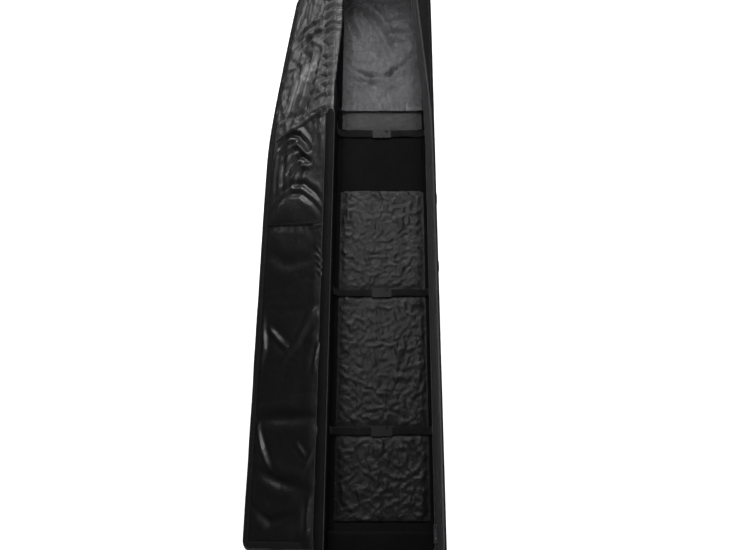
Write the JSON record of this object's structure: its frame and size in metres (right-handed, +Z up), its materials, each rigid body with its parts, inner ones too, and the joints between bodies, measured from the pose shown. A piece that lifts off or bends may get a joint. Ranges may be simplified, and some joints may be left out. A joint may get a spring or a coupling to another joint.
{
  "type": "ski bag",
  "caption": "Long soft wheeled ski bag lying on its back, with its zipped lid turned out flat to one side, inside straps, handles and skid rails.",
  "frame": {"origin": "on the floor under the middle of the tub, on the sliding face of the middle skid rail", "axes": "+Z up with the bag on its back, +Y along the bag towards the roll-down end, +X towards the zipped long side"},
  "size_m": [0.6085, 2.1654, 0.219],
  "materials": {
    "shell_fabric": "coated woven shell fabric, satin black",
    "lid_lining": "glossy coated black lining",
    "tub_lining": "thin crumpled dark grey lining",
    "wall_lining": "black lining",
    "foam": "closed foam sheet",
    "board": "stiff plastic sheet",
    "rib": "bent plastic strip",
    "webbing": "woven black webbing",
    "binding": "folded grey-black binding tape",
    "zipper_tape": "woven zipper tape",
    "zipper_teeth": "moulded coil teeth",
    "slider_metal": "black lacquered zinc",
    "moulded_plastic": "textured black moulding",
    "runner_plastic": "hard black rail",
    "buckle_plastic": "satin black buckle",
    "tyre": "polyurethane tread",
    "hub_plastic": "grey hub moulding",
    "steel": "zinc plated steel"
  },
  "bodies": {
    "tub": {"outer_shell": "shell_fabric", "stiffener_ribs": "rib", "wall_foam": "foam", "floor_board": "board", "lining_main": "tub_lining", "wheel_box_liner": "tub_lining", "lining_roll_section": "tub_lining", "pad_end_binding": "binding", "rim_flange": "shell_fabric", "gathered_gusset": "lid_lining", "base_zipper_tape": "zipper_tape", "base_zipper_teeth": "zipper_teeth", "wheel_housing": "moulded_plastic", "housing_screws": "steel", "runner_middle": "runner_plastic", "runner_rivets": "steel", "sewn_patches": "webbing", "axle_left": "steel", "runner_left": "runner_plastic", "daisy_chain_left": "webbing", "axle_right": "steel", "runner_right": "runner_plastic", "daisy_chain_right": "webbing", "strap_1_right_web": "webbing", "strap_1_left_web": "webbing", "strap_1_socket": "buckle_plastic", "strap_2_right_web": "webbing", "strap_2_left_web": "webbing", "strap_2_socket": "buckle_plastic", "strap_3_right_web": "webbing", "strap_3_left_web": "webbing", "strap_3_socket": "buckle_plastic"},
    "lid": {"lid_outer_panel": "shell_fabric", "lid_foam": "foam", "lid_lining": "lid_lining", "lid_roll_lining": "lid_lining", "lid_zipper_teeth": "zipper_teeth"},
    "slider_wheel_end": {"slider_wheel_end": "slider_metal"},
    "pull_wheel_end": {"pull_wheel_end": "slider_metal"},
    "slider_roll_end": {"slider_roll_end": "slider_metal"},
    "pull_roll_end": {"pull_roll_end": "slider_metal"},
    "wheel_left": {"tyre_left": "tyre", "hub_left": "hub_plastic", "bearings_left": "steel"},
    "hook_strap_left": {"hook_web_left": "webbing", "hook_left": "slider_metal"},
    "wheel_right": {"tyre_right": "tyre", "hub_right": "hub_plastic", "bearings_right": "steel"},
    "hook_strap_right": {"hook_web_right": "webbing", "hook_right": "slider_metal"},
    "strap_1_tongue": {"strap_1_tongue": "buckle_plastic"},
    "strap_2_tongue": {"strap_2_tongue": "buckle_plastic"},
    "strap_3_tongue": {"strap_3_tongue": "buckle_plastic"},
    "side_handle": {"side_handle_web": "webbing", "side_handle_grip": "webbing"},
    "wheel_end_handle": {"wheel_end_handle_web": "webbing", "wheel_end_handle_grip": "webbing"},
    "roll_end_handle": {"roll_end_handle_web": "webbing", "roll_end_handle_grip": "webbing"}
  },
  "joints": [
    {"name": "lid_hinge", "type": "hinge", "parent": "tub", "child": "lid", "pos_m": [-0.175, 0, 0.212], "axis": [0, 1, 0], "range_deg": [0, 219.69]},
    {"name": "slider_wheel_end_slide", "type": "slide", "parent": "tub", "child": "slider_wheel_end", "axis": [0, 1, 0], "range_m": [0, 1.3]},
    {"name": "pull_wheel_end_flip", "type": "hinge", "parent": "slider_wheel_end", "child": "pull_wheel_end", "pos_m": [0.1472, -0.995, 0.2168], "axis": [1, 0, 0], "range_deg": [0, 175]},
    {"name": "slider_roll_end_slide", "type": "slide", "parent": "tub", "child": "slider_roll_end", "axis": [0.0835, -0.9965, 0], "range_m": [0, 0.61]},
    {"name": "pull_roll_end_flip", "type": "hinge", "parent": "slider_roll_end", "child": "pull_roll_end", "pos_m": [0.09227, 1.005, 0.2168], "axis": [-0.9965, -0.0835, 0], "range_deg": [0, 175]},
    {"name": "wheel_left_spin", "type": "hinge", "parent": "tub", "child": "wheel_left", "pos_m": [-0.128, -1.042, 0.0395], "axis": [1, 0, 0], "continuous": true},
    {"name": "wheel_right_spin", "type": "hinge", "parent": "tub", "child": "wheel_right", "pos_m": [0.128, -1.042, 0.0395], "axis": [1, 0, 0], "continuous": true},
    {"name": "strap_1_release", "type": "slide", "parent": "tub", "child": "strap_1_tongue", "axis": [1, 0, 0], "range_m": [0, 0.024]},
    {"name": "strap_2_release", "type": "slide", "parent": "tub", "child": "strap_2_tongue", "axis": [1, 0, 0], "range_m": [0, 0.024]},
    {"name": "strap_3_release", "type": "slide", "parent": "tub", "child": "strap_3_tongue", "axis": [1, 0, 0], "range_m": [0, 0.024]},
    {"name": "side_handle_swing", "type": "hinge", "parent": "tub", "child": "side_handle", "pos_m": [0.1799, -0.06, 0.158], "axis": [0, -1, 0], "range_deg": [0, 85]},
    {"name": "wheel_end_handle_swing", "type": "hinge", "parent": "tub", "child": "wheel_end_handle", "pos_m": [0, -1.0749, 0.178], "axis": [-1, 0, 0], "range_deg": [0, 85]},
    {"name": "roll_end_handle_swing", "type": "hinge", "parent": "tub", "child": "roll_end_handle", "pos_m": [0, 1.0749, 0.166], "axis": [1, 0, 0], "range_deg": [0, 85]},
    {"name": "hook_strap_left_swing", "type": "hinge", "parent": "tub", "child": "hook_strap_left", "pos_m": [-0.132, 1.0719, 0.181], "axis": [1, 0, 0], "range_deg": [0, 85]},
    {"name": "hook_strap_right_swing", "type": "hinge", "parent": "tub", "child": "hook_strap_right", "pos_m": [0.132, 1.0719, 0.181], "axis": [1, 0, 0], "range_deg": [0, 85]}
  ]
}
